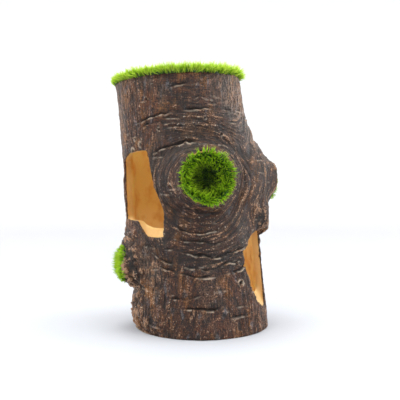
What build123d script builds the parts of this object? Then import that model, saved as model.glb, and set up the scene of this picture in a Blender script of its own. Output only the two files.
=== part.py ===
"""Hollow tree-trunk insect hotel: one thin-walled casting with two side windows, an open top and
three cut branch stubs, and moss pads glued to the top rim and to each stub.

Millimetres. The trunk stands on z = 0 with the centre of its foot at the origin, the front is -Y
and +X is the side with the large stub. Bearings are degrees round the trunk from the front,
positive towards +X.
"""

import math
import os

from build123d import *

# Trunk: a leaning, nearly round tube. Each section is height, sideways offset, half width.
TRUNK_SECTIONS = (
    (0.0, 0.0, 33.4),
    (20.0, -1.2, 32.8),
    (60.0, -4.5, 32.4),
    (90.0, -7.4, 31.6),
    (130.0, -12.9, 30.4),
)
DEPTH_RATIO = 0.96
WALL = 4.5
FLOOR = 6.0
FOOT_CHAMFER = 0.5
TOP_HEIGHT = 121.4
TOP_RISE_ACROSS = 0.058  # per millimetre towards +X: the cut is nearly square to the lean
TOP_RISE_BACK = 0.05  # per millimetre away from the front

# Moss: a coat of glue and the fibres that stand in it.
GLUE = 0.6
PILE = 3.0
RIM_SKIRT = 1.0  # how far the moss laps down outside the rim
RIM_OVERHANG = 0.9
HOLLOW_OVERHANG = 0.8

# Cut branch stubs: where each stands on the trunk, how far its face is from the bark, and its
# flare as (distance out from the bark, radius) from root to face. A crown is how far the moss
# swells out past the face.
FRONT_STUB = {"bearing": 13.0, "height": 71.8, "pitch": 0.0, "reach": 7.4}
FRONT_FLARE = ((-9.0, 20.8), (-1.0, 17.6), (3.4, 14.2), (7.4, 12.9))
FRONT_HOLLOW = {"radius": 11.4, "depth": 7.6}

SIDE_STUB = {"bearing": 97.0, "height": 71.0, "pitch": 3.0, "reach": 10.6}
SIDE_FLARE = ((-16.0, 27.4), (-8.0, 24.6), (0.0, 19.8), (5.5, 14.0), (10.6, 9.4))
SIDE_HOLLOW = {"radius": 7.8, "depth": 3.4}
SIDE_CROWN = 0.8

SIDE_LIP = {"bearing": 84.0, "height": 55.5, "pitch": -4.0, "reach": 5.6}
SIDE_LIP_FLARE = ((-7.0, 14.0), (0.0, 11.2), (3.0, 9.6), (5.6, 7.0))

LOW_STUB = {"bearing": -75.0, "height": 32.0, "pitch": 0.0, "reach": 4.4}
LOW_FLARE = ((-7.0, 16.0), (-1.0, 13.8), (2.2, 11.6), (4.4, 9.5))
LOW_HOLLOW = {"radius": 8.2, "depth": 1.4}
LOW_CROWN = 3.8

# Windows: corners on the bark as (distance across from the bearing, height). The sill climbs
# inwards from sill_low, on the bark at sill_bearing, and is level with sill_top inside.
HIGH_WINDOW = {
    "bearing": -50.0,
    "sill_bearing": -31.0,
    "sill_low": 44.3,
    "sill_top": 53.2,
    "sill_slope": 52.0,
}
HIGH_WINDOW_CORNERS = (
    (-14.8, 52.8),
    (-14.8, 80.8),
    (-4.6, 84.2),
    (7.4, 85.0),
    (10.4, 68.5),
    (15.4, 57.0),
    (15.4, 44.2),
    (6.8, 44.8),
    (-0.2, 52.6),
)
LOW_WINDOW = {
    "bearing": 63.0,
    "sill_bearing": 74.0,
    "sill_low": 9.6,
    "sill_top": 19.0,
    "sill_slope": 61.0,
}
LOW_WINDOW_CORNERS = (
    (10.4, 48.8),
    (5.0, 48.2),
    (-3.0, 45.6),
    (-10.8, 39.6),
    (-10.2, 31.4),
    (-7.0, 21.5),
    (-2.4, 14.4),
    (1.6, 11.6),
    (5.6, 9.8),
    (9.8, 9.0),
    (10.4, 24.0),
)
WINDOW_CORNER = 1.2
CUTTER_REACH = 13.0


def trunk_at(height):
    """Sideways offset and half width of the trunk at a height."""
    for low, high in zip(TRUNK_SECTIONS, TRUNK_SECTIONS[1:]):
        if height <= high[0]:
            share = (height - low[0]) / (high[0] - low[0])
            return [low[i] + share * (high[i] - low[i]) for i in (1, 2)]
    return list(TRUNK_SECTIONS[-1][1:])


def bark_plane(bearing, height, pitch=0.0, out=0.0):
    """A plane facing out of the bark, a distance out from it: x runs across, z is outward."""
    offset, half_width = trunk_at(height)
    turn = math.radians(bearing)
    lift = math.radians(pitch)
    outward = Vector(
        math.sin(turn) * math.cos(lift),
        -math.cos(turn) * math.cos(lift),
        math.sin(lift),
    )
    on_bark = Vector(
        offset + half_width * math.sin(turn),
        -half_width * DEPTH_RATIO * math.cos(turn),
        height,
    )
    across = (math.cos(turn), math.sin(turn), 0)
    return Plane(origin=on_bark + outward * out, x_dir=across, z_dir=outward)


def trunk_body(inset, start):
    """The leaning trunk as a solid, shrunk by inset, from start upwards."""
    with BuildPart() as body:
        for height in [start] + [s[0] for s in TRUNK_SECTIONS if s[0] > start]:
            offset, half_width = trunk_at(height)
            with BuildSketch(Plane.XY.offset(height)):
                with Locations((offset, 0)):
                    Ellipse(half_width - inset, half_width * DEPTH_RATIO - inset)
        loft()
    return body.part


def stub_body(place, flare):
    """A cut branch stub, from a wide root inside the wall to its face."""
    with BuildPart() as body:
        for out, radius in flare:
            with BuildSketch(bark_plane(place["bearing"], place["height"], place["pitch"], out)):
                Circle(radius)
        loft()
    return body.part


def stub_face(place):
    """The plane of a stub's cut face."""
    return bark_plane(place["bearing"], place["height"], place["pitch"], place["reach"])


def cap_profile(radius, height):
    """Half the outline of a dome on the x axis, or of a bowl under it for a negative height."""
    with BuildSketch() as profile:
        with BuildLine():
            Polyline((0, height), (0, 0), (radius, 0))
            TangentArc((0, height), (radius, 0), tangent=(1, 0))
        make_face()
    return profile.sketch


def pad_body(place, hollow, inset=0.0, lift=0.0, crown=0.0):
    """What fills a stub's hollow: shrunk by inset, with straight sides or a dome past the face."""
    face = stub_face(place)
    radius = hollow["radius"] - inset
    with BuildPart() as body:
        with BuildSketch(Plane(origin=face.origin, x_dir=face.x_dir, z_dir=-face.y_dir)):
            add(cap_profile(radius, inset - hollow["depth"]))
            if lift:
                Rectangle(radius, lift, align=Align.MIN)
            if crown:
                add(cap_profile(radius, crown))
        revolve(axis=Axis(face.origin, face.z_dir))
    return body.part


def window_body(window, corners):
    """The solid that a window cuts away: its outline through the wall, above the sill."""
    middle = sum(height for _, height in corners) / len(corners)
    with BuildPart() as outline:
        with BuildSketch(bark_plane(window["bearing"], middle)) as opening:
            with BuildLine():
                Polyline(*[(across, height - middle) for across, height in corners], close=True)
            make_face()
            fillet(opening.vertices(), WINDOW_CORNER)
        extrude(amount=CUTTER_REACH, both=True)
    slope = bark_plane(window["sill_bearing"], window["sill_low"], 90 - window["sill_slope"])
    with BuildPart() as body:
        for floor in (slope, Plane.XY.offset(window["sill_top"])):
            add(split(outline.part, bisect_by=floor, keep=Keep.TOP, mode=Mode.PRIVATE))
    return body.part


top_plane = Plane(
    origin=(trunk_at(TOP_HEIGHT)[0], 0, TOP_HEIGHT),
    z_dir=(-TOP_RISE_ACROSS, -TOP_RISE_BACK, 1),
)

with BuildPart() as trunk_shell:
    add(trunk_body(0.0, 0.0))
    chamfer(trunk_shell.edges().group_by(Axis.Z)[0], FOOT_CHAMFER)
    add(stub_body(FRONT_STUB, FRONT_FLARE))
    add(stub_body(SIDE_STUB, SIDE_FLARE))
    add(stub_body(SIDE_LIP, SIDE_LIP_FLARE))
    add(stub_body(LOW_STUB, LOW_FLARE))
    split(bisect_by=top_plane, keep=Keep.BOTTOM)
    add(trunk_body(WALL, FLOOR), mode=Mode.SUBTRACT)
    add(window_body(HIGH_WINDOW, HIGH_WINDOW_CORNERS), mode=Mode.SUBTRACT)
    add(window_body(LOW_WINDOW, LOW_WINDOW_CORNERS), mode=Mode.SUBTRACT)
    add(pad_body(FRONT_STUB, FRONT_HOLLOW, lift=GLUE), mode=Mode.SUBTRACT)
    add(pad_body(SIDE_STUB, SIDE_HOLLOW, lift=GLUE), mode=Mode.SUBTRACT)
    add(pad_body(LOW_STUB, LOW_HOLLOW, lift=GLUE), mode=Mode.SUBTRACT)
trunk_shell.part.label = "trunk_shell"

with BuildPart() as rim_moss_bed:
    add(trunk_body(-GLUE, 0.0))
    split(bisect_by=top_plane.offset(GLUE), keep=Keep.BOTTOM)
    split(bisect_by=top_plane.offset(-RIM_SKIRT), keep=Keep.TOP)
    add(trunk_body(WALL, FLOOR), mode=Mode.SUBTRACT)
    add(trunk_shell.part, mode=Mode.SUBTRACT)
rim_moss_bed.part.label = "rim_moss_bed"

with BuildPart() as rim_moss_pile:
    add(trunk_body(-GLUE - RIM_OVERHANG, 0.0))
    split(bisect_by=top_plane.offset(GLUE + PILE), keep=Keep.BOTTOM)
    split(bisect_by=top_plane.offset(-RIM_SKIRT), keep=Keep.TOP)
    add(trunk_body(WALL, FLOOR), mode=Mode.SUBTRACT)
    add(trunk_shell.part, mode=Mode.SUBTRACT)
    add(rim_moss_bed.part, mode=Mode.SUBTRACT)
rim_moss_pile.part.label = "rim_moss_pile"

with BuildPart() as front_moss_bed:
    add(pad_body(FRONT_STUB, FRONT_HOLLOW))
    add(pad_body(FRONT_STUB, FRONT_HOLLOW, inset=GLUE, lift=GLUE), mode=Mode.SUBTRACT)
front_moss_bed.part.label = "front_moss_bed"

with BuildPart() as front_moss_pile:
    add(pad_body(FRONT_STUB, FRONT_HOLLOW, inset=GLUE, lift=HOLLOW_OVERHANG))
    add(pad_body(FRONT_STUB, FRONT_HOLLOW, inset=GLUE + PILE, lift=PILE), mode=Mode.SUBTRACT)
front_moss_pile.part.label = "front_moss_pile"

with BuildPart() as side_moss_bed:
    add(pad_body(SIDE_STUB, SIDE_HOLLOW))
    add(pad_body(SIDE_STUB, SIDE_HOLLOW, inset=GLUE, lift=GLUE), mode=Mode.SUBTRACT)
side_moss_bed.part.label = "side_moss_bed"

with BuildPart() as side_moss_pile:
    add(pad_body(SIDE_STUB, SIDE_HOLLOW, inset=GLUE, crown=SIDE_CROWN))
side_moss_pile.part.label = "side_moss_pile"

with BuildPart() as low_moss_bed:
    add(pad_body(LOW_STUB, LOW_HOLLOW))
    add(pad_body(LOW_STUB, LOW_HOLLOW, inset=GLUE, lift=GLUE), mode=Mode.SUBTRACT)
low_moss_bed.part.label = "low_moss_bed"

with BuildPart() as low_moss_pile:
    add(pad_body(LOW_STUB, LOW_HOLLOW, inset=GLUE, crown=LOW_CROWN))
low_moss_pile.part.label = "low_moss_pile"

PIECES = (
    trunk_shell,
    rim_moss_bed,
    rim_moss_pile,
    front_moss_bed,
    front_moss_pile,
    side_moss_bed,
    side_moss_pile,
    low_moss_bed,
    low_moss_pile,
)

os.makedirs("parts", exist_ok=True)
for piece in PIECES:
    export_step(piece.part, f"parts/{piece.part.label}.step")
    print(piece.part.label, len(piece.part.solids()), round(piece.part.volume), piece.part.is_valid)
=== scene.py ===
import itertools
import math

import bpy
import numpy as np
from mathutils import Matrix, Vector, kdtree


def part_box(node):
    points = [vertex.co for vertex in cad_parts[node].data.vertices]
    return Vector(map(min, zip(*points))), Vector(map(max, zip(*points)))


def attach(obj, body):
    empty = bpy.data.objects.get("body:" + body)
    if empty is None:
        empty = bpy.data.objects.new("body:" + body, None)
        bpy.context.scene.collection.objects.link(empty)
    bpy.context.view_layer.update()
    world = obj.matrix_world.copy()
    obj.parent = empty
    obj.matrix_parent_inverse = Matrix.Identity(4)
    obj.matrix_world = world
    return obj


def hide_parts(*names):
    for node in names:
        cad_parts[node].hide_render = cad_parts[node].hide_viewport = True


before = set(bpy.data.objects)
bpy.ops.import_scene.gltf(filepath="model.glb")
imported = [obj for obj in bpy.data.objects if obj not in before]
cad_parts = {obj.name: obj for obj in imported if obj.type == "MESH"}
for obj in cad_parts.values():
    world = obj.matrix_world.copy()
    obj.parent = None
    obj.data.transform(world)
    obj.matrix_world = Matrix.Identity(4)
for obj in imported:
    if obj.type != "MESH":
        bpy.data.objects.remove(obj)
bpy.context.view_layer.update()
mm = 0.001
up = np.array((0.0, 0.0, 1.0))


def say(text):
    print("[log]", text, flush=True)


def linear(hexColour):
    # sRGB hex to the linear colour that shaders work in
    parts = [int(hexColour[i:i + 2], 16) / 255 for i in (1, 3, 5)]
    return [c / 12.92 if c <= 0.04045 else ((c + 0.055) / 1.055) ** 2.4 for c in parts] + [1.0]


def addNode(tree, kind, pins=None, out=0, **settings):
    # pins holds a socket to link or a value to set; what comes back is one output
    made = tree.nodes.new("ShaderNode" + kind)
    for name, value in settings.items():
        setattr(made, name, value)
    for pin, source in (pins or {}).items():
        if isinstance(source, bpy.types.NodeSocket):
            tree.links.new(source, made.inputs[pin])
        else:
            made.inputs[pin].default_value = source
    return made.outputs[out]


inColour = {"data_type": "RGBA"}  # what a mix node needs to mix colours


def smooth(low, high, value):
    # 0 below low, 1 above high, with an eased step between
    share = np.clip((value - low) / (high - low), 0, 1)
    return share * share * (3 - 2 * share)


def latticeValue(cell, seed):
    # one seeded random value for each corner of the lattice; the large primes only stir the bits
    mixed = cell @ np.array((374761393, 668265263, 1440662683)) + seed * 69069
    mixed = mixed & 0xFFFFFFFF
    mixed = ((mixed ^ (mixed >> 13)) * 1274126177) & 0xFFFFFFFF
    return ((mixed ^ (mixed >> 16)) & 0xFFFF) / 32767.5 - 1


def noise(points, size, seed):
    # smooth random values from -1 to 1; size is the width of a feature, or one width for each axis
    scaled = points / size
    cell = np.floor(scaled).astype(np.int64)
    share = scaled - cell
    share = share * share * (3 - 2 * share)
    total = np.zeros(len(points))
    for corner in itertools.product((0, 1), repeat=3):
        weight = np.prod(np.where(corner, share, 1 - share), axis=1)
        total += weight * latticeValue(cell + np.array(corner), seed)
    return total


def readPoints(mesh):
    flat = np.empty(len(mesh.vertices) * 3, np.float32)
    mesh.vertices.foreach_get("co", flat)
    return flat.reshape(-1, 3).astype(float) / mm


def readNormals(mesh):
    flat = np.empty(len(mesh.vertices) * 3, np.float32)
    mesh.vertex_normals.foreach_get("vector", flat)
    return flat.reshape(-1, 3).astype(float)


def writePoints(mesh, points):
    mesh.vertices.foreach_set("co", (points * mm).astype(np.float32).ravel())
    mesh.update()


def writeAttribute(mesh, name, values):
    layer = mesh.attributes.new(name, "FLOAT", "POINT")
    layer.data.foreach_set("value", np.asarray(values, np.float32))


def meshObject(name, mesh):
    made = bpy.data.objects.new(name, mesh)
    bpy.context.scene.collection.objects.link(made)
    return made


def applied(piece):
    # the piece's mesh with its modifiers in it
    graph = bpy.context.evaluated_depsgraph_get()
    mesh = bpy.data.meshes.new_from_object(piece.evaluated_get(graph))
    piece.modifiers.clear()
    old = piece.data
    piece.data = mesh
    bpy.data.meshes.remove(old)
    mesh.name = piece.name
    return mesh


def remeshed(piece, voxel):
    # the piece's mesh made again from even squares, voxel millimetres wide
    piece.data.materials.clear()
    remesh = piece.modifiers.new("even", "REMESH")
    remesh.mode = "VOXEL"
    remesh.voxel_size = voxel * mm
    return applied(piece)


def shadeSmooth(mesh):
    for face in mesh.polygons:
        face.use_smooth = True


view = {
    "distance": 273.0,  # of the camera from the trunk's middle, in millimetres
    "height": 62.2,
    "lens": 49.1,
    "sky": "#fffcf7",
    "skyStrength": 1.0,
    # the card, in metres: how far out it is flat, how wide it bends, and its top edge
    "cardFlat": 0.95,
    "cardBend": 0.45,
    "cardTop": 1.9,
    # its colours and where they lie: it is greyer under the lamps, so that it looks evenly white
    "cardNear": ("#c9ccd2", 0.3),
    "cardFar": ("#f8f9fb", 1.25),
    # lamps: name, place and size in metres, power in watts
    "lamps": (
        ("keyLight", (-0.3, -0.5, 0.7), 0.7, 1.6),
        ("leftLight", (-0.75, -0.1, 0.4), 0.8, 2.0),
        ("rightLight", (0.75, -0.1, 0.4), 0.8, 3.8),
        ("topLight", (-0.02, 0.0, 0.8), 0.5, 4.0),
    ),
    "lampsAim": (0, 0, 0.06),
}


def makeCamera():
    data = bpy.data.cameras.new("camera")
    data.lens = view["lens"]
    data.sensor_width = 36
    camera = meshObject("camera", data)
    camera.location = (0, -view["distance"] * mm, view["height"] * mm)
    camera.rotation_euler = (math.radians(90), 0, 0)
    bpy.context.scene.camera = camera


def cardMesh():
    # a round card that sweeps up all round, so every side is seen against it
    flat, bend = view["cardFlat"], view["cardBend"]
    firstRing, bendSteps, turns = 0.2, 10, 96
    profile = [(firstRing, 0.0), (flat, 0.0)]
    for step in range(1, bendSteps + 1):
        turn = math.radians(90 * step / bendSteps)
        profile.append((flat + bend * math.sin(turn), bend * (1 - math.cos(turn))))
    profile.append((flat + bend, view["cardTop"]))
    points = [(0, 0, 0)]
    for radius, height in profile:
        for step in range(turns):
            turn = 2 * math.pi * step / turns
            points.append((radius * math.cos(turn), radius * math.sin(turn), height))
    faces = [(0, 1 + step, 1 + (step + 1) % turns) for step in range(turns)]
    for ring in range(len(profile) - 1):
        low = 1 + ring * turns
        for step in range(turns):
            after = (step + 1) % turns
            faces.append((low + step, low + turns + step, low + turns + after, low + after))
    mesh = bpy.data.meshes.new("floor")
    mesh.from_pydata(points, [], faces)
    shadeSmooth(mesh)
    return mesh


def whiteCard():
    # Matt white photographer's card.
    material = bpy.data.materials.new("whiteCard")
    material.use_nodes = True
    tree = material.node_tree
    shader = tree.nodes["Principled BSDF"]
    (nearTone, near), (farTone, far) = view["cardNear"], view["cardFar"]
    place = addNode(tree, "TexCoord", out="Object")
    away = addNode(tree, "VectorMath", {"Vector": place}, "Value", operation="LENGTH")
    share = addNode(tree, "MapRange", {"Value": away, "From Min": near, "From Max": far})
    tones = {6: linear(nearTone), 7: linear(farTone)}
    tone = addNode(tree, "Mix", {0: share, **tones}, 2, **inColour)
    tree.links.new(tone, shader.inputs["Base Color"])
    shader.inputs["Roughness"].default_value = 0.9
    shader.inputs["Specular IOR Level"].default_value = 0.2
    return material


def makeFloor():
    floor = meshObject("floor", cardMesh())
    floor.data.materials.append(whiteCard())


def makeLight(name, place, size, power):
    data = bpy.data.lights.new(name, "AREA")
    data.shape = "DISK"
    data.size = size
    data.energy = power
    lamp = meshObject(name, data)
    lamp.location = place
    away = Vector(view["lampsAim"]) - Vector(place)
    lamp.rotation_euler = away.to_track_quat("-Z", "Y").to_euler()


def makeStage():
    makeCamera()
    makeFloor()
    for lamp in view["lamps"]:
        makeLight(*lamp)
    world = bpy.data.worlds.new("studio")
    bpy.context.scene.world = world
    world.use_nodes = True
    sky = world.node_tree.nodes["Background"]
    sky.inputs["Color"].default_value = linear(view["sky"])
    sky.inputs["Strength"].default_value = view["skyStrength"]
    bpy.context.scene.view_settings.view_transform = "Standard"
    say("stage ready")


# The trunk's relief. Bearings are in degrees from the front, positive to the right; heights,
# widths, depths and reaches are in millimetres.
trunk = {
    # the leaning tube: height, sideways offset and half width
    "sections": (
        (0, 0, 33.4), (20, -1.2, 32.8), (60, -4.5, 32.4), (90, -7.4, 31.6), (130, -12.9, 30.4),
    ),
    "depthRatio": 0.96,
    "voxel": 0.42,
    "faces": 190000,
    "seed": 11,
    # shares of the tube's radius: where bark begins, and what counts as a window's cut edge
    "barkEdge": (0.967, 0.992),
    "cutEdge": (0.9, 0.965),
    "softenSteps": 120,
    "softenFactor": 0.9,
    "highSill": {"bearing": -35, "height": 50, "spread": 30, "tall": 7, "kept": 0.85},  # stays crisp
    "valley": {"bearing": 62, "height": 71, "spread": 0.2, "tall": 20, "strength": 1.3},  # made soft
    # growth rings round each stub: flattening above it, stretch in height, reach
    "ringForms": {"front": (0.55, 1.0, 33), "side": (0.0, 0.45, 14), "low": (0.0, 1.0, 8)},
    "ringBlend": 4.0,  # how far one stub's rings run into the next one's
    # level rings round the front: how much of them there is, and how much is left near the rim
    "levelRings": {"bearing": 5, "spread": 52, "share": 0.5, "atRim": 0.6, "rim": (98, 108)},
    # relief: width and depth
    "coarseGrain": (1.9, 0.85),
    "fineGrain": (1.0, 0.55),
    "crumbs": (1.2, 0.3),
    "nodules": (3.0, 1.3),
    "lumps": (17, 0.5),
    "hollowLumps": (9, 0.22),
    "knobbly": {"bearing": -70, "spread": 19, "top": 24, "tall": 20},  # where the nodules are
    "footWear": {"height": 8, "depth": 0.1, "bearing": -72, "spread": 38, "extra": 3.0},
    "sideLip": 0.6,
    # long cracks, each with a lip under it; then bearing and height of each one's start, middle and end
    "crack": {
        "depth": 0.95, "width": 0.42, "lipBelow": 0.72, "lipWidth": 0.25, "lipHeight": 0.7, "fade": 9,
    },
    "cracks": (
        ((-46, 97.5), (0, 102.0), (62, 103.0)),
        ((-40, 94.0), (-22, 97.0), (-5, 97.5)),
        ((5, 107.5), (24, 108.5), (45, 107.0)),
        ((-8, 113.0), (8, 114.5), (26, 114.0)),
        ((-30, 83.0), (13, 88.2), (50, 84.0)),
        ((-16, 51.5), (6, 48.2), (28, 50.5)),
        ((-18, 46.5), (8, 43.2), (42, 47.0)),
        ((-26, 41.5), (8, 37.2), (52, 43.0)),
        ((-50, 43.0), (-8, 32.8), (50, 38.5)),
        ((-34, 34.0), (8, 28.2), (50, 33.5)),
        ((-15, 14.5), (4, 13.8), (20, 14.4)),
        ((-30, 20.0), (-12, 18.8), (6, 19.4)),
        ((24, 10.2), (38, 9.6), (55, 10.4)),
        ((70, 100.0), (110, 104.0), (150, 101.0)),
        ((120, 88.0), (160, 91.0), (205, 88.0)),
        ((150, 60.0), (185, 56.0), (225, 61.0)),
        ((100, 38.0), (140, 34.0), (180, 37.0)),
        ((190, 40.0), (225, 36.5), (262, 41.0)),
        ((200, 108.0), (230, 110.5), (265, 107.0)),
        ((130, 20.0), (165, 17.5), (200, 19.5)),
        ((215, 75.0), (245, 79.0), (268, 77.0)),
    ),
    # short level ledges, scattered through three bands of height
    "ledge": {"count": 150, "height": 0.32, "length": (0.6, 3.2), "width": 0.24, "slope": 0.12},
    "ledgeBands": ((3, 30), (88, 119), (20, 100)),
    # little round pits with a raised rim: bearing, height, radius
    "pit": {"depth": 0.9, "rimHeight": 0.6, "rimWidth": 0.3, "hollowWidth": 0.6},
    "pits": (
        (-46, 90.2, 1.0), (-40, 87.6, 1.3), (-51, 85.2, 1.2), (-38, 60.5, 1.3), (-20, 94, 0.8),
        (33, 92, 0.9), (38, 24.5, 1.4), (20, 99, 0.7), (-28, 108, 0.9), (60, 25, 1.0),
        (110, 50, 1.2), (150, 98, 1.3), (175, 70, 1.4), (196, 48, 1.1), (230, 60, 1.4),
        (250, 95, 1.2), (215, 20, 1.2), (140, 28, 1.1),
    ),
    # where the hand-shaped bark stands out from or falls short of the plain form: bearing, height,
    # spread in degrees, spread in millimetres, amount in millimetres
    "swells": (
        (88, 92, 34, 8.5, 2.3),
        (55, 72, 10, 16, 0.8),
        (97, 64, 16, 4, -2.6),
        (-92, 80, 22, 9, -1.0),
        (-86, 44.5, 20, 4.0, 1.5),
        (-80, 40, 14, 3, -1.4),
        (-75, 20.5, 22, 3.2, -2.8),
        (150, 60, 40, 20, 0.9),
        (205, 90, 30, 16, -0.8),
        (235, 35, 30, 18, 0.9),
    ),
    # painted sheen: paler patches high on both flanks, where the lacquer catches the side light:
    # bearing, height, spread in degrees, spread in millimetres, strength
    "sheenPatches": ((82, 103, 34, 18, 1.0), (-88, 102, 26, 20, 0.55)),
    "cutFaceRing": (2.4, 0.8),  # the bare ring round the front moss fades out between these widths
}

# Cut branch stubs, the way they face, and how wide they are where the growth rings start.
stubs = {
    "front": {"bearing": 13, "pitch": 0, "bed": "front_moss_bed", "flare": 13},
    "side": {"bearing": 97, "pitch": 3, "bed": "side_moss_bed", "flare": 10},
    "low": {"bearing": -75, "pitch": 0, "bed": "low_moss_bed", "flare": 10},
}


def placeStub(stub):
    # outward direction, and centre and radius of the flat ring round its moss, from the frame
    turn, lift = math.radians(stub["bearing"]), math.radians(stub["pitch"])
    level = math.cos(lift)
    out = np.array((math.sin(turn) * level, -math.cos(turn) * level, math.sin(lift)))
    points = readPoints(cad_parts[stub["bed"]].data)
    along = points @ out
    onFace = 0.05
    ring = points[along > along.max() - onFace]
    stub["out"] = out
    stub["centre"] = (ring.min(0) + ring.max(0)) / 2
    stub["radius"] = np.linalg.norm(ring - stub["centre"], axis=1).max()


def trunkAt(height):
    heights, offsets, widths = zip(*trunk["sections"])
    return np.interp(height, heights, offsets), np.interp(height, heights, widths)


def onTrunk(points):
    # share of the trunk's radius, bearing in radians, and the half width there
    offset, halfWidth = trunkAt(points[:, 2])
    across = points[:, 0] - offset
    deep = points[:, 1] / trunk["depthRatio"]
    return np.hypot(across, deep) / halfWidth, np.arctan2(across, -deep), halfWidth


def turnFrom(bearing, degrees):
    # angle in radians from a bearing given in degrees, the short way round
    return (bearing - math.radians(degrees) + math.pi) % (2 * math.pi) - math.pi


def outwardAt(bearing):
    return np.stack([np.sin(bearing), -np.cos(bearing), 0 * bearing], axis=1)


def swellAt(points):
    # how far the bark is moved outwards, in millimetres, as vectors
    _, bearing, _ = onTrunk(points)
    total = np.zeros(len(points))
    for degrees, height, spread, rise, amount in trunk["swells"]:
        turn = turnFrom(bearing, degrees) / math.radians(spread)
        total += amount * np.exp(-(turn**2) - ((points[:, 2] - height) / rise) ** 2)
    return outwardAt(bearing) * total[:, None]


def stubGap(points, stub):
    # distance along the stub's direction from its face, and out from its middle line
    gap = points - stub["centre"]
    along = gap @ stub["out"]
    return along, np.linalg.norm(gap - along[:, None] * stub["out"], axis=1)


def growth(points, bearing, halfWidth):
    # distance from the nearest stub over the bark, and how far growth rings rule there
    distances, shares = [], []
    for name, (flatten, tall, reach) in trunk["ringForms"].items():
        stub = stubs[name]
        across = turnFrom(bearing, stub["bearing"]) * halfWidth
        rise = points[:, 2] - stub["centre"][2]
        across = across * (1 - flatten * smooth(6, 28, rise))
        distance = np.hypot(across, rise * tall) - stub["flare"]
        distances.append(distance)
        shares.append(1 - smooth(reach - 6, reach + 3, distance))
    soft = trunk["ringBlend"]
    nearest = -soft * np.log(sum(np.exp(-distance / soft) for distance in distances))
    # level rings go on round the front, fade out near the rim, and give way at the upper left
    form = trunk["levelRings"]
    front = np.exp(-((turnFrom(bearing, form["bearing"]) / math.radians(form["spread"])) ** 4))
    nearRim = smooth(*form["rim"], points[:, 2])
    share = np.max(shares, axis=0) * (1 - (1 - form["atRim"] * front) * nearRim)
    degrees = np.degrees(bearing)
    upperLeft = smooth(-4, -26, degrees) * smooth(-95, -60, degrees) * smooth(82, 90, points[:, 2])
    return nearest, np.maximum(share, form["share"] * front) * (1 - 0.75 * upperLeft)


def ringPoints(points, nearest):
    # a space in which noise runs in long lines round the stubs
    alongRings, acrossRings = 0.18, np.array((0.5, 0.3, 0.8))
    return points * alongRings + nearest[:, None] * acrossRings


def crackField(points, bearing):
    # how far the long cracks sink or lift the bark, and where their lips stand
    form = trunk["crack"]
    degrees = np.degrees(bearing)
    field = np.zeros(len(points))
    lips = np.zeros(len(points))
    for number, places in enumerate(trunk["cracks"]):
        bearings, heights = zip(*places)
        start, _, end = bearings
        # a crack's bearings may run past 180 degrees
        turned = np.where(degrees < start - 30, degrees + 360, degrees)
        curve = np.polyfit(bearings, heights, 2)
        wander = 1.1 * noise(points, 6, 900 + number) + 0.5 * noise(points, 2.2, 950 + number)
        rise = points[:, 2] - np.polyval(curve, turned) - wander
        ends = smooth(start, start + form["fade"], turned)
        ends = ends * (1 - smooth(end - form["fade"], end, turned))
        strength = smooth(-0.55, 0.35, noise(points, 5, 700 + number)) * ends
        groove = -np.exp(-((rise / form["width"]) ** 2))
        lip = np.exp(-(((rise + form["lipBelow"]) / form["lipWidth"]) ** 2))
        shape = (groove + form["lipHeight"] * lip) * strength
        field = np.where(np.abs(shape) > np.abs(field), shape, field)
        lips = np.maximum(lips, lip * strength)
    return field, lips


def ledgeField(points, bearing, halfWidth):
    # the scattered ledges, each with a groove over it, and where their edges stand
    form = trunk["ledge"]
    grooveAbove, grooveWidth, grooveDepth = 0.75, 0.4, 0.8
    random = np.random.default_rng(trunk["seed"])
    field = np.zeros(len(points))
    edges = np.zeros(len(points))
    for _ in range(form["count"]):
        degrees = random.uniform(-180, 180)
        height = random.choice([random.uniform(*band) for band in trunk["ledgeBands"]])
        length = random.uniform(*form["length"])
        near = np.nonzero(np.abs(points[:, 2] - height) < 3)[0]
        across = turnFrom(bearing[near], degrees) * halfWidth[near]
        rise = points[near, 2] - height + form["slope"] * across * random.uniform(-1, 1)
        ends = np.exp(-((across / length) ** 4))
        ledge = ends * np.exp(-((rise / form["width"]) ** 2))
        groove = grooveDepth * ends * np.exp(-(((rise - grooveAbove) / grooveWidth) ** 2))
        field[near] += ledge - groove
        edges[near] = np.maximum(edges[near], ledge)
    return field, edges


def pitField(points, bearing, halfWidth):
    form = trunk["pit"]
    field = np.zeros(len(points))
    rims = np.zeros(len(points))
    for degrees, height, radius in trunk["pits"]:
        across = turnFrom(bearing, degrees) * halfWidth
        away = np.hypot(across, points[:, 2] - height) / radius
        rim = np.exp(-(((away - 1) / form["rimWidth"]) ** 2))
        field += form["rimHeight"] * rim - np.exp(-((away / form["hollowWidth"]) ** 2))
        rims = np.maximum(rims, rim)
    return field, rims


def barkMask(points, share):
    # 1 on bark, 0 on cut edges, in the hollow and in the stubs' own hollows
    mask = smooth(*trunk["barkEdge"], share)
    for stub in stubs.values():
        along, sideways = stubGap(points, stub)
        inHollow = 1 - smooth(stub["radius"] - 0.2, stub["radius"] + 0.9, sideways)
        inHollow = inHollow * smooth(-9.5, -8.5, along) * (share > 0.9)
        mask = mask * (1 - inHollow)
    return mask


def knobblyShare(points, bearing, halfWidth):
    # lumpy bark round the low stub and down to the foot below it
    form = trunk["knobbly"]
    across = turnFrom(bearing, form["bearing"]) * halfWidth
    above = np.maximum(points[:, 2] - form["top"], 0)
    return np.exp(-((across / form["spread"]) ** 2) - (above / form["tall"]) ** 4)


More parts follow.
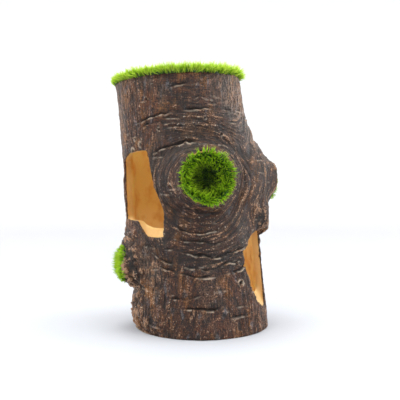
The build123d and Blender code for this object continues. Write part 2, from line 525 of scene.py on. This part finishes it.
def barkRelief(points, bearing, halfWidth):
    # bark detail and broad lumps in millimetres, and the pale lips and edges, paint worn off them and
    # painted highlight;
    # each noise has a seed of its own, and what is taken off it brings its mean near zero
    nearest, ringShare = growth(points, bearing, halfWidth)
    curved = ringPoints(points, nearest)
    upright = points * np.array((1, 1, 0.13))

    def grain(width, seed):
        ringed = noise(curved, width, seed)
        straight = noise(upright, width * 0.85, seed + 1)
        return ringShare * ringed + (1 - ringShare) * straight

    width, depth = trunk["coarseGrain"]
    broken = 0.75 + 0.5 * noise(points, 5, 15)
    ringed = 0.35 + 0.65 * ringShare
    coarse = (np.abs(grain(width, 10)) ** 0.75 - 0.36) * depth * broken * ringed
    width, depth = trunk["fineGrain"]
    fine = (np.abs(grain(width, 20)) ** 0.8 - 0.36) * depth
    width, depth = trunk["crumbs"]
    crumbs = (np.abs(noise(points, width, 25)) - 0.3) * depth
    width, depth = trunk["nodules"]
    nodules = np.abs(noise(points, width, 41)) + 0.7 * np.abs(noise(points, width / 2, 42)) - 0.5
    nodules = nodules * depth * (0.15 + 1.1 * knobblyShare(points, bearing, halfWidth))

    crack, lips = crackField(points, bearing)
    ledge, edges = ledgeField(points, bearing, halfWidth)
    pit, rims = pitField(points, bearing, halfWidth)
    depths = trunk["crack"]["depth"], trunk["ledge"]["height"], trunk["pit"]["depth"]
    marks = crack * depths[0] + ledge * depths[1] + pit * depths[2]
    width, depth = trunk["lumps"]
    lumps = depth * (noise(points, width, 51) + 0.5 * noise(points, 8, 52))
    # the lips, ledge edges and pit rims turn pale: paint worn off them, and painted highlight where they
    # face up to the light
    rubbedAndLit = np.max((0.8 * lips, 0.55 * edges, 0.7 * rims), axis=0)
    rubbedAndLit = rubbedAndLit * smooth(-0.4, 0.5, noise(points, 1.1, 71))
    return coarse + fine + crumbs + nodules + marks, lumps, rubbedAndLit


def stubLips(points):
    # the side stub's bark curls forward past its moss
    side = stubs["side"]
    along, sideways = stubGap(points, side)
    ring = smooth(side["radius"] - 0.6, side["radius"] + 0.4, sideways) * smooth(-4, -0.5, along)
    toFront = smooth(3, -4, points[:, 1] - side["centre"][1])
    return (trunk["sideLip"] * ring * toFront)[:, None] * side["out"]


def footWear(points, bearing):
    # the foot is worn round, most under the low stub
    form = trunk["footWear"]
    side = np.exp(-((turnFrom(bearing, form["bearing"]) / math.radians(form["spread"])) ** 2))
    low = np.clip(1 - points[:, 2] / form["height"], 0, 1) ** 2
    return -low * (form["depth"] + form["extra"] * side)


def softness(points, share, bearing, mask):
    # how far each point is smoothed: the hollow, the windows' edges and the valley by the side stub
    height = points[:, 2]
    # the foot and the rim keep their edges
    inside = 1 - smooth(*trunk["cutEdge"], share)
    soft = inside * smooth(8, 13, height) * (1 - smooth(98, 104, height))
    sill, valley = trunk["highSill"], trunk["valley"]
    turn = turnFrom(bearing, sill["bearing"]) / math.radians(sill["spread"])
    atSill = np.exp(-(turn**4) - ((height - sill["height"]) / sill["tall"]) ** 4)
    soft = soft * (1 - sill["kept"] * atSill)
    for stub in stubs.values():
        along, sideways = stubGap(points, stub)
        behind = np.minimum(along + 8, 0)
        soft = soft * smooth(stub["radius"], stub["radius"] + 2, np.hypot(sideways, behind))
    turn = turnFrom(bearing, valley["bearing"]) / valley["spread"]
    inValley = np.exp(-(turn**2) - ((height - valley["height"]) / valley["tall"]) ** 2)
    return np.clip(soft + valley["strength"] * inValley * mask, 0, 1)


def softenTrunk(piece, amount):
    levels = 8
    group = piece.vertex_groups.new(name="soft")
    for level in range(1, levels + 1):
        chosen = np.nonzero(np.round(amount * levels) == level)[0]
        group.add(chosen.tolist(), level / levels, "REPLACE")
    soften = piece.modifiers.new("soften", "SMOOTH")
    soften.vertex_group = "soft"
    soften.factor = trunk["softenFactor"]
    soften.iterations = trunk["softenSteps"]
    mesh = applied(piece)
    piece.vertex_groups.clear()
    return mesh


def carveBark(mesh, mask):
    # moves the points out into bark, and gives back their places, relief and pale edges: paint worn off,
    # and painted highlight
    points = readPoints(mesh)
    normals = readNormals(mesh)
    share, bearing, halfWidth = onTrunk(points)
    detail, lumps, rubbedAndLit = barkRelief(points, bearing, halfWidth)
    width, depth = trunk["hollowLumps"]
    inside = depth * noise(points, width, 61) * (1 - mask) * smooth(1.5, 4, points[:, 2])
    move = mask * (detail + lumps) + inside
    # near the foot the bark only moves sideways, so the foot stays flat on the ground
    normals[:, 2] *= smooth(0.4, 3.0, points[:, 2])
    moved = points + normals * move[:, None]
    moved += swellAt(points) * smooth(0.6, 0.9, share)[:, None]
    moved += stubLips(points)
    moved += outwardAt(bearing) * (footWear(points, bearing) * mask)[:, None]
    moved[:, 2] = np.maximum(moved[:, 2], 0)
    writePoints(mesh, moved)
    say("bark carved")
    return moved, detail, rubbedAndLit


def thinTrunk(piece, moved):
    # thins the mesh, and gives back which of the carved points is nearest to each one that is left
    tree = kdtree.KDTree(len(moved))
    for number, place in enumerate(moved):
        tree.insert(place, number)
    tree.balance()
    thin = piece.modifiers.new("thin", "DECIMATE")
    thin.ratio = trunk["faces"] / (2 * len(piece.data.polygons))
    points = readPoints(applied(piece))
    return np.array([tree.find(place)[1] for place in points])


def markTrunk(mesh):
    # what the paint needs to know about each place on the trunk
    points = readPoints(mesh)
    share, bearing, halfWidth = onTrunk(points)
    distance, ringShare = growth(points, bearing, halfWidth)
    writeAttribute(mesh, "ringShare", ringShare)
    writeAttribute(mesh, "knobbly", knobblyShare(points, bearing, halfWidth))
    # paler patches high on both flanks: painted sheen
    pale = np.zeros(len(points))
    for degrees, height, spread, rise, strength in trunk["sheenPatches"]:
        turn = turnFrom(bearing, degrees) / math.radians(spread)
        pale += strength * np.exp(-(turn**2) - ((points[:, 2] - height) / rise) ** 4)
    writeAttribute(mesh, "pale", pale)
    # the windows' cut edges, darkened later as painted shade
    writeAttribute(mesh, "cutEdgeShade", smooth(0.87, 0.9, share))
    # the flanks and the foot are worn most, and the rings higher up least
    low = smooth(48, 30, points[:, 2])
    flanks = smooth(35, 75, np.abs(np.degrees(bearing)))
    writeAttribute(mesh, "worn", np.maximum(0.25 * low, flanks) - 0.4 * ringShare * (1 - low))
    front = stubs["front"]
    along, sideways = stubGap(points, front)
    outer, inner = trunk["cutFaceRing"]
    ring = smooth(front["radius"] + outer, front["radius"] + inner, sideways)
    writeAttribute(mesh, "cutFace", ring * smooth(-2.4, -0.6, along))
    layer = mesh.attributes.new("rings", "FLOAT_VECTOR", "POINT")
    layer.data.foreach_set("vector", ringPoints(points, distance).astype(np.float32).ravel())


def makeTrunk():
    for stub in stubs.values():
        placeStub(stub)
    piece = meshObject("trunk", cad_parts["trunk_shell"].data.copy())
    mesh = remeshed(piece, trunk["voxel"])
    say(f"trunk remeshed to {len(mesh.vertices)} points")
    points = readPoints(mesh)
    share, bearing, _ = onTrunk(points)
    mask = barkMask(points, share)
    mesh = softenTrunk(piece, softness(points, share, bearing, mask))
    moved, detail, rubbedAndLit = carveBark(mesh, mask)
    nearest = thinTrunk(piece, moved)
    mesh = piece.data
    for name, values in (("paint", mask), ("relief", detail), ("rubbedAndLit", rubbedAndLit)):
        writeAttribute(mesh, name, values[nearest])
    markTrunk(mesh)
    shadeSmooth(mesh)
    mesh.materials.append(paintedResin())
    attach(piece, "root")
    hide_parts("trunk_shell")
    say(f"trunk finished with {len(mesh.polygons)} faces")


# Cast polyester resin, ochre right through, brush-painted brown outside and lacquered satin.
# The creases are darkened, part dark paint wash and part painted shade; the ridges are dry-brushed pale,
# with painted highlight on them too; and the bare hollow is smooth.
resinFinish = {
    "ior": 1.55,
    "bark": "#2f180a",
    "barkLight": "#582f14",
    # crease is dark paint wash and painted shade; dustAndHighlight is dry-brushed paint and painted
    # highlight
    "crease": "#0c0603",
    "dustAndHighlight": "#a98263",
    # pale edges and flecks: paint worn off, and painted highlight
    "rubbedAndLit": "#cfbea8",
    "broadGrain": 1.6,  # widths in millimetres
    "fineGrain": 0.6,
    "grit": 0.6,  # the brushed grit is finer, too fine to show
    "flecks": 0.9,
    "stretch": 0.14,  # the upright grain is this much squeezed in height, which draws it out
    "ringWash": 0.55,  # how dark the wash over the growth rings is
    # how far the brush takes grit, grain and worn places for higher, in millimetres
    "gritRise": 1.5,
    "grainRise": 1.6,
    "wornRise": 0.24,
    # heights between which a colour sets in, and how strong it gets: dark in the creases, paint wash and
    # painted shade, and pale on the crests, dry-brushing and painted highlight
    "creased": (0.05, -0.4, 0.9),
    "brushed": (0.45, 0.85, 0.9),
    "bumpDepth": 0.7,
    "specular": 0.34,
    "gloss": (0.34, 0.55),  # roughness of the lacquer
    "bareRoughness": 0.5,
    # washes over the bark: colour, width of a patch, upright squeeze, where the noise starts it
    # and where it is full, strength
    "washes": (
        ("#5f331b", 11, 1.0, 0.52, 0.66, 0.6),
        ("#8a551c", 7, 0.5, 0.53, 0.68, 0.8),
        ("#7d7062", 13, 0.6, 0.54, 0.72, 0.35),
        # the cool grey streaks are painted highlight: the bluish glints of the lacquer
        ("#717880", 3, 0.35, 0.60, 0.70, 0.5),
    ),
    # tints that follow the shape: painted attribute, colour, strength
    # the pale tint is painted sheen, high on both flanks
    "tints": (("knobbly", "#6e5236", 0.5), ("pale", "#a79d95", 0.9), ("cutFace", "#9a735e", 0.7)),
    "resin": "#e4bf6c",
    "resinPale": "#fbe0a0",
    "resinDeep": "#cf8a34",
    "cutEdgeShade": "#cb9d5c",  # the windows' cut edges, darkened: painted shade
    "shadePatches": 9,  # width of the deeper orange patches in the hollow: painted shade
    "paleFloor": (40, 60),  # heights between which the hollow turns paler downwards: painted light in its dim depths
    "translucent": 0.25,
    "lightDepth": 6,  # millimetres
    "lightSpread": (1.0, 0.6, 0.25),  # red goes furthest
}


def paintedResin():
    material = bpy.data.materials.new("paintedCastResin")
    material.use_nodes = True
    tree = material.node_tree
    shader = tree.nodes["Principled BSDF"]
    place = addNode(tree, "TexCoord", out="Object")
    aroundStubs = addNode(tree, "Attribute", out="Vector", attribute_name="rings")
    marks = ("relief", "rubbedAndLit", "worn", "paint", "ringShare")
    marks += ("pale", "knobbly", "cutFace", "cutEdgeShade")
    painted = {}
    for name in marks:
        painted[name] = addNode(tree, "Attribute", out="Fac", attribute_name=name)
    soft = {"Detail": 2, "Roughness": 0.6}

    # grain runs upright, or round the stubs where growth rings rule
    upright = addNode(tree, "Mapping", {"Vector": place, "Scale": (1, 1, resinFinish["stretch"])})
    grain = {}
    for name in ("broadGrain", "fineGrain"):
        width = resinFinish[name]
        straight = addNode(tree, "TexNoise", {"Vector": upright, "Scale": 1 / (width * mm), **soft})
        curved = addNode(tree, "TexNoise", {"Vector": aroundStubs, "Scale": 1 / width, **soft})
        pins = {0: painted["ringShare"], 2: straight, 3: curved}
        grain[name] = addNode(tree, "Mix", pins, data_type="FLOAT")
    grit = addNode(tree, "TexNoise", {"Vector": place, "Scale": 1 / (resinFinish["grit"] * mm), **soft})

    share = addNode(tree, "MapRange", {"Value": grain["broadGrain"], "From Min": 0.4, "From Max": 0.6})
    shades = {6: linear(resinFinish["bark"]), 7: linear(resinFinish["barkLight"])}
    colour = addNode(tree, "Mix", {0: share, **shades}, 2, **inColour)
    for tone, width, squeeze, start, full, strength in resinFinish["washes"]:
        patch = addNode(tree, "Mapping", {"Vector": place, "Scale": (1, 1, squeeze)})
        patch = addNode(tree, "TexNoise", {"Vector": patch, "Scale": 1 / (width * mm), "Detail": 3})
        limits = {"From Min": start, "From Max": full, "To Max": strength}
        share = addNode(tree, "MapRange", {"Value": patch, **limits})
        colour = addNode(tree, "Mix", {0: share, 6: colour, 7: linear(tone)}, 2, **inColour)
    streaky = {"From Min": 0.42, "From Max": 0.6}
    streaks = addNode(tree, "MapRange", {"Value": grain["fineGrain"], **streaky})
    for name, tone, strength in resinFinish["tints"]:
        share = addNode(tree, "Math", {0: streaks, 1: painted[name]}, operation="MULTIPLY")
        share = addNode(tree, "Math", {0: share, 1: strength}, operation="MULTIPLY")
        colour = addNode(tree, "Mix", {0: share, 6: colour, 7: linear(tone)}, 2, **inColour)
    limits = {"From Min": 0.4, "To Max": resinFinish["ringWash"]}
    share = addNode(tree, "MapRange", {"Value": painted["ringShare"], **limits})
    colour = addNode(tree, "Mix", {0: share, 6: colour, 7: linear(resinFinish["crease"])}, 2, **inColour)

    # dark in the creases, part paint wash and part painted shade, and pale on the crests and wherever
    # grain or grit stands up, part dry-brushed paint and part painted highlight
    height = painted["relief"]
    for name, texture in (("gritRise", grit), ("grainRise", grain["fineGrain"])):
        rise = resinFinish[name]
        extra = addNode(tree, "MapRange", {"Value": texture, "To Min": -rise, "To Max": rise})
        height = addNode(tree, "Math", {0: height, 1: extra}, operation="ADD")
    pins = {0: painted["worn"], 1: resinFinish["wornRise"], 2: height}
    wornHeight = addNode(tree, "Math", pins, operation="MULTIPLY_ADD")
    start, full, strength = resinFinish["creased"]
    limits = {"From Min": start, "From Max": full, "To Max": strength}
    share = addNode(tree, "MapRange", {"Value": height, **limits})
    colour = addNode(tree, "Mix", {0: share, 6: colour, 7: linear(resinFinish["crease"])}, 2, **inColour)
    start, full, strength = resinFinish["brushed"]
    limits = {"From Min": start, "From Max": full, "To Max": strength}
    share = addNode(tree, "MapRange", {"Value": wornHeight, **limits})
    colour = addNode(tree, "Mix", {0: share, 6: colour, 7: linear(resinFinish["dustAndHighlight"])}, 2, **inColour)
    # sparse pale flecks on the raised bark, joined with the pale edges: dry-brushed paint, and painted
    # highlight for the lacquer's glints
    scale = 1 / (resinFinish["flecks"] * mm)
    flecks = addNode(tree, "TexNoise", {"Vector": place, "Scale": scale, "Detail": 1})
    sparse = {"From Min": 0.68, "From Max": 0.74, "To Max": 0.7}
    flecks = addNode(tree, "MapRange", {"Value": flecks, **sparse})
    standing = addNode(tree, "MapRange", {"Value": painted["relief"], "From Min": -0.1, "From Max": 0.2})
    flecks = addNode(tree, "Math", {0: flecks, 1: standing}, operation="MULTIPLY")
    share = addNode(tree, "Math", {0: flecks, 1: painted["rubbedAndLit"]}, operation="MAXIMUM")
    colour = addNode(tree, "Mix", {0: share, 6: colour, 7: linear(resinFinish["rubbedAndLit"])}, 2, **inColour)

    # the bare hollow, paler low down: painted light in its dim depths
    above = addNode(tree, "SeparateXYZ", {"Vector": place}, "Z")
    low, high = (height * mm for height in resinFinish["paleFloor"])
    share = addNode(tree, "MapRange", {"Value": above, "From Min": high, "From Max": low})
    shades = {6: linear(resinFinish["resin"]), 7: linear(resinFinish["resinPale"])}
    bare = addNode(tree, "Mix", {0: share, **shades}, 2, **inColour)
    # deeper orange patches in the hollow: painted shade
    scale = 1 / (resinFinish["shadePatches"] * mm)
    shadePatches = addNode(tree, "TexNoise", {"Vector": place, "Scale": scale, "Detail": 4})
    patchy = {"From Min": 0.46, "From Max": 0.68, "To Max": 0.8}
    share = addNode(tree, "MapRange", {"Value": shadePatches, **patchy})
    bare = addNode(tree, "Mix", {0: share, 6: bare, 7: linear(resinFinish["resinDeep"])}, 2, **inColour)
    # the windows' cut edges are darkened: painted shade
    share = addNode(tree, "Math", {0: painted["cutEdgeShade"], 1: 0.7}, operation="MULTIPLY")
    bare = addNode(tree, "Mix", {0: share, 6: bare, 7: linear(resinFinish["cutEdgeShade"])}, 2, **inColour)

    # the painted edge is a little ragged
    ragged = addNode(tree, "MapRange", {"Value": grit, "To Min": -0.25, "To Max": 0.25})
    covered = addNode(tree, "Math", {0: painted["paint"], 1: ragged}, operation="ADD")
    covered = addNode(tree, "MapRange", {"Value": covered, "From Min": 0.3, "From Max": 0.5})
    colour = addNode(tree, "Mix", {0: covered, 6: bare, 7: colour}, 2, **inColour)
    tree.links.new(colour, shader.inputs["Base Color"])

    low, high = resinFinish["gloss"]
    gloss = addNode(tree, "MapRange", {"Value": grain["fineGrain"], "To Min": low, "To Max": high})
    pins = {0: covered, 2: resinFinish["bareRoughness"], 3: gloss}
    gloss = addNode(tree, "Mix", pins, data_type="FLOAT")
    tree.links.new(gloss, shader.inputs["Roughness"])
    bumps = addNode(tree, "Math", {0: grit, 1: 0.6, 2: grain["fineGrain"]}, operation="MULTIPLY_ADD")
    bumps = addNode(tree, "Math", {0: bumps, 1: covered}, operation="MULTIPLY")
    depth = resinFinish["bumpDepth"] * mm
    bump = addNode(tree, "Bump", {"Height": bumps, "Distance": depth, "Strength": 1.0})
    tree.links.new(bump, shader.inputs["Normal"])
    shader.inputs["IOR"].default_value = resinFinish["ior"]
    shader.inputs["Metallic"].default_value = 0
    shader.inputs["Specular IOR Level"].default_value = resinFinish["specular"]
    # light sinks a little into the bare resin
    limits = {"To Min": resinFinish["translucent"], "To Max": 0}
    glow = addNode(tree, "MapRange", {"Value": covered, **limits})
    tree.links.new(glow, shader.inputs["Subsurface Weight"])
    shader.inputs["Subsurface Radius"].default_value = resinFinish["lightSpread"]
    shader.inputs["Subsurface Scale"].default_value = resinFinish["lightDepth"] * mm
    return material


# Moss: static grass standing in a coat of green glue.
moss = {
    "seed": 7,
    "perArea": 4.2,  # fibres on a square millimetre
    "length": 3.5,
    "thickness": 0.36,  # real fibres are a third as thick, too fine to show
    "lean": 0.2,
    "tuft": 0.4,  # how far neighbouring fibres lean together
    "tuftWidth": 1.6,
    "rimTuft": 1.3,  # times as much on the rim
    "bend": 0.22,  # share of a fibre's length
    "rooted": 0.25,  # millimetres of fibre in the glue
    "glueVoxel": 0.35,
    "glueLumps": 0.28,
    "frontReach": 2.6,  # past the front stub's face
    "rimLitTips": 0.85,  # how pale the palest fibres get: painted light, where the rim's tips catch it
    "stubLitTips": 0.2,
}


def exposedFaces(bed, keep):
    # the corners and normals of a bed's triangles that moss stands on
    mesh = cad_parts[bed].data
    mesh.calc_loop_triangles()
    points = readPoints(mesh)
    corners, normals = [], []
    for triangle in mesh.loop_triangles:
        normal = np.array(triangle.normal)
        places = points[list(triangle.vertices)]
        if keep(places.mean(0), normal):
            corners.append(places)
            normals.append(normal)
    return np.array(corners), np.array(normals)


def scatter(corners, normals, perArea, random):
    # random places on the triangles, as many on each as its area asks for
    edges = np.cross(corners[:, 1] - corners[:, 0], corners[:, 2] - corners[:, 0])
    areas = np.linalg.norm(edges, axis=1) / 2
    count = int(areas.sum() * perArea)
    chosen = random.choice(len(areas), count, p=areas / areas.sum())
    first, other = random.random((2, count))
    outside = first + other > 1
    first, other = np.where(outside, 1 - first, first), np.where(outside, 1 - other, other)
    origin = corners[chosen, 0]
    firstEdge, otherEdge = corners[chosen, 1] - origin, corners[chosen, 2] - origin
    return origin + first[:, None] * firstEdge + other[:, None] * otherEdge, normals[chosen]


def tufts(roots):
    seeds = (320, 321, 322)  # for x, y and z
    leans = [noise(roots, moss["tuftWidth"], seed) for seed in seeds]
    return moss["tuft"] * np.stack(leans, axis=1)


def unit(vectors):
    return vectors / (np.linalg.norm(vectors, axis=1)[:, None] + 1e-9)


def makeFibres(name, roots, directions, lengths, shade, fade, random):
    # each fibre is a bent, tapered three-sided spike, closed at its root
    count = len(roots)
    directions = unit(directions)
    side = unit(np.cross(directions, random.normal(size=(count, 3))))
    other = np.cross(directions, side)
    bend = unit(random.normal(size=(count, 3))) * (moss["bend"] * lengths)[:, None]
    thick = moss["thickness"] * random.uniform(0.8, 1.25, count) / 2
    corners, waist = 7, 0.55  # a triangle at the root, one at the waist, and the tip
    points = np.empty((count, corners, 3))
    for corner in range(3):
        turn = 2 * math.pi * corner / 3
        rim = (side * math.cos(turn) + other * math.sin(turn)) * thick[:, None]
        points[:, corner] = roots - directions * moss["rooted"] + rim
        middle = roots + directions * (waist * lengths)[:, None] + bend * 0.3
        points[:, 3 + corner] = middle + rim * 0.8
    points[:, 6] = roots + directions * lengths[:, None] + bend
    faces = []
    for corner in range(3):
        after = (corner + 1) % 3
        faces.append((corner, after, 3 + after))
        faces.append((corner, 3 + after, 3 + corner))
        faces.append((3 + corner, 3 + after, 6))
    faces.append((2, 1, 0))
    faces = (np.array(faces)[None] + corners * np.arange(count)[:, None, None]).reshape(-1, 3)
    mesh = bpy.data.meshes.new(name)
    mesh.vertices.add(count * corners)
    mesh.loops.add(faces.size)
    mesh.polygons.add(len(faces))
    mesh.vertices.foreach_set("co", (points * mm).astype(np.float32).ravel())
    mesh.loops.foreach_set("vertex_index", faces.astype(np.int32).ravel())
    mesh.polygons.foreach_set("loop_start", np.arange(0, faces.size, 3, dtype=np.int32))
    mesh.update(calc_edges=True)
    mesh.validate()
    writeAttribute(mesh, "along", np.tile((0, 0, 0, waist, waist, waist, 1.0), count))
    writeAttribute(mesh, "shade", np.repeat(shade, corners))
    # fade: how much a fibre is paled, painted light
    writeAttribute(mesh, "fade", np.repeat(fade, corners))
    return meshObject(name, mesh)


# Nylon static grass, dyed: matt, with painted shade at the root and painted light at the tip.
grassFinish = {
    "ior": 1.53,
    "root": "#1f5c04",
    "middle": "#80c404",
    "tip": "#d6fa28",
    "deep": "#0d2a03",
    "litTipsPale": "#daf052",
    "roughness": 0.6,
    "specular": 0.2,
}


def nylonGrass():
    material = bpy.data.materials.new("nylonGrass")
    material.use_nodes = True
    tree = material.node_tree
    shader = tree.nodes["Principled BSDF"]
    along = addNode(tree, "Attribute", out="Fac", attribute_name="along")
    # dark at the root, painted shade, and light at the tip, painted light
    colour = linear(grassFinish["root"])
    for name, start, full in (("middle", 0, 0.5), ("tip", 0.5, 1)):
        share = addNode(tree, "MapRange", {"Value": along, "From Min": start, "From Max": full})
        colour = addNode(tree, "Mix", {0: share, 6: colour, 7: linear(grassFinish[name])}, 2, **inColour)
    # some fibres are paler, painted light most of all on the rim, and some stand in the dark
    for name, tone in (("fade", "litTipsPale"), ("shade", "deep")):
        share = addNode(tree, "Attribute", out="Fac", attribute_name=name)
        colour = addNode(tree, "Mix", {0: share, 6: colour, 7: linear(grassFinish[tone])}, 2, **inColour)
    tree.links.new(colour, shader.inputs["Base Color"])
    shader.inputs["IOR"].default_value = grassFinish["ior"]
    shader.inputs["Metallic"].default_value = 0
    shader.inputs["Roughness"].default_value = grassFinish["roughness"]
    shader.inputs["Specular IOR Level"].default_value = grassFinish["specular"]
    return material


# Vinyl glue, tinted green and dried: a dull skin that is lumpy where the fibres stood in it.
glueFinish = {
    "ior": 1.47,
    "thin": "#2c5212",
    "thick": "#142d08",
    "lump": 1.4,  # millimetres across
    "bumpDepth": 0.5,
    "bumpStrength": 0.8,
    "roughness": (0.5, 0.7),
}


def driedGlue():
    material = bpy.data.materials.new("driedGreenGlue")
    material.use_nodes = True
    tree = material.node_tree
    shader = tree.nodes["Principled BSDF"]
    place = addNode(tree, "TexCoord", out="Object")
    scale = 1 / (glueFinish["lump"] * mm)
    lumps = addNode(tree, "TexNoise", {"Vector": place, "Scale": scale, "Detail": 3})
    share = addNode(tree, "MapRange", {"Value": lumps, "From Min": 0.4, "From Max": 0.6})
    shades = {6: linear(glueFinish["thick"]), 7: linear(glueFinish["thin"])}
    colour = addNode(tree, "Mix", {0: share, **shades}, 2, **inColour)
    tree.links.new(colour, shader.inputs["Base Color"])
    pins = {"Distance": glueFinish["bumpDepth"] * mm, "Strength": glueFinish["bumpStrength"]}
    bump = addNode(tree, "Bump", {"Height": lumps, **pins})
    tree.links.new(bump, shader.inputs["Normal"])
    low, high = glueFinish["roughness"]
    gloss = addNode(tree, "MapRange", {"Value": lumps, "To Min": low, "To Max": high})
    tree.links.new(gloss, shader.inputs["Roughness"])
    shader.inputs["IOR"].default_value = glueFinish["ior"]
    shader.inputs["Metallic"].default_value = 0
    return material


def finishMoss(piece, node):
    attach(piece, "root")
    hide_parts(node)
    say(f"{piece.name}: {len(piece.data.polygons)} faces")


def makeGlue(name, glue, seed):
    # the coat of glue, lumpy and a little uneven at its edge
    node = name + "_moss_bed"
    piece = meshObject(name + "_glue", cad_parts[node].data.copy())
    mesh = remeshed(piece, moss["glueVoxel"])
    points = readPoints(mesh)
    lumps = moss["glueLumps"] * (noise(points, 2.6, seed) + 0.5 * noise(points, 1.2, seed + 1))
    writePoints(mesh, points + readNormals(mesh) * lumps[:, None] + swellAt(points))
    shadeSmooth(mesh)
    mesh.materials.append(glue)
    finishMoss(piece, node)


def makeRimMoss(random):
    low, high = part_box("rim_moss_bed")
    middle = np.array((low + high) / 2) / mm

    def onRim(place, normal):
        # the top, and the skirt outside it, but not the side towards the hollow
        return normal[2] > 0.9 or (normal[2] > -0.5 and normal @ (place - middle) > 0)

    corners, normals = exposedFaces("rim_moss_bed", onRim)
    roots, facing = scatter(corners, normals, moss["perArea"], random)
    outward = roots - middle
    outward[:, 2] = 0
    radius = np.linalg.norm(outward, axis=1)
    outward = outward / radius[:, None]
    onTop = facing[:, 2] > 0.9
    rimShare = smooth(28.5, 32, radius)
    lean = random.normal(size=roots.shape) * moss["lean"] + moss["rimTuft"] * tufts(roots)
    directions = up + lean + outward * (-0.1 + 0.5 * rimShare)[:, None]
    onSkirt = directions + outward * 0.45 - up * 0.35
    directions = np.where(onTop[:, None], directions, onSkirt)
    # a little longer towards the right
    longer = 1 + 0.004 * (roots[:, 0] - middle[0])
    lengths = moss["length"] * random.uniform(0.7, 1.2, len(roots)) * longer
    shade = 0.25 * random.random(len(roots))
    # paler fibres, painted light: the rim's tips catch the light
    fade = moss["rimLitTips"] * random.random(len(roots))
    return makeFibres("rim_moss", roots, directions, lengths, shade, fade, random)


def makeStubMoss(name, random):
    stub = stubs[name]
    out = stub["out"]
    corners, normals = exposedFaces(stub["bed"], lambda place, normal: normal @ out > 0.15)
    roots, facing = scatter(corners, normals, moss["perArea"], random)
    gap = roots - stub["centre"]
    along = gap @ out
    sideways = gap - along[:, None] * out
    edge = np.linalg.norm(sideways, axis=1) / stub["radius"]
    lean = random.normal(size=roots.shape) * moss["lean"] + tufts(roots)
    splay = unit(sideways) * (smooth(0.7, 1.0, edge) * 0.9)[:, None]
    directions = facing * (1 - 0.7 * smooth(0.7, 1, edge))[:, None] + out * 0.4 + lean + splay
    patchy = 1 + 0.3 * noise(roots, 5, 330)
    lengths = moss["length"] * random.uniform(0.65, 1.15, len(roots)) * patchy
    shade = 0.45 * random.random(len(roots)) + 0.75 * smooth(-2.5, -7.5, along)
    lengths = lengths * (1 - 0.2 * smooth(0.75, 1, edge))
    if name == "low":
        # this pad has grown out over the bark at the front of its stub
        outer = smooth(0.7, 1, edge) * smooth(-2, -6, gap[:, 1])
        roots = roots + unit(sideways) * (2.4 * outer)[:, None] - out * (0.8 * outer)[:, None]
        lengths = lengths * (1 - 0.45 * smooth(3.5, 8, np.abs(gap[:, 2])))
    if name == "front":
        # cut back where it would stand out too far, and short at the lower left rim
        reach = along + lengths * (unit(directions) @ out)
        lengths = lengths - np.maximum(reach - moss["frontReach"], 0)
        bare = gap @ np.array((-0.55, 0, -0.83)) > 9.6
        lengths = np.where(bare, 0.35 * lengths, lengths)
    if name == "side":
        # only what stands low and far back shows past the bark
        lengths = lengths * (1 - 0.55 * smooth(3, -3, gap[:, 1]) * smooth(-6, -2, gap[:, 2]))
    roots = roots + swellAt(roots)
    # a few paler fibres, painted light
    fade = moss["stubLitTips"] * random.random(len(roots))
    return makeFibres(name + "_moss", roots, directions, lengths, shade, fade, random)


def makeMoss():
    random = np.random.default_rng(moss["seed"])
    grass = nylonGrass()
    glue = driedGlue()
    piece = makeRimMoss(random)
    piece.data.materials.append(grass)
    finishMoss(piece, "rim_moss_pile")
    for name in stubs:
        piece = makeStubMoss(name, random)
        piece.data.materials.append(grass)
        finishMoss(piece, name + "_moss_pile")
    for number, name in enumerate(("rim", "front", "side", "low")):
        makeGlue(name, glue, 310 + 10 * number)


makeStage()
makeTrunk()
makeMoss()
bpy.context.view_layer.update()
say("boxes written")
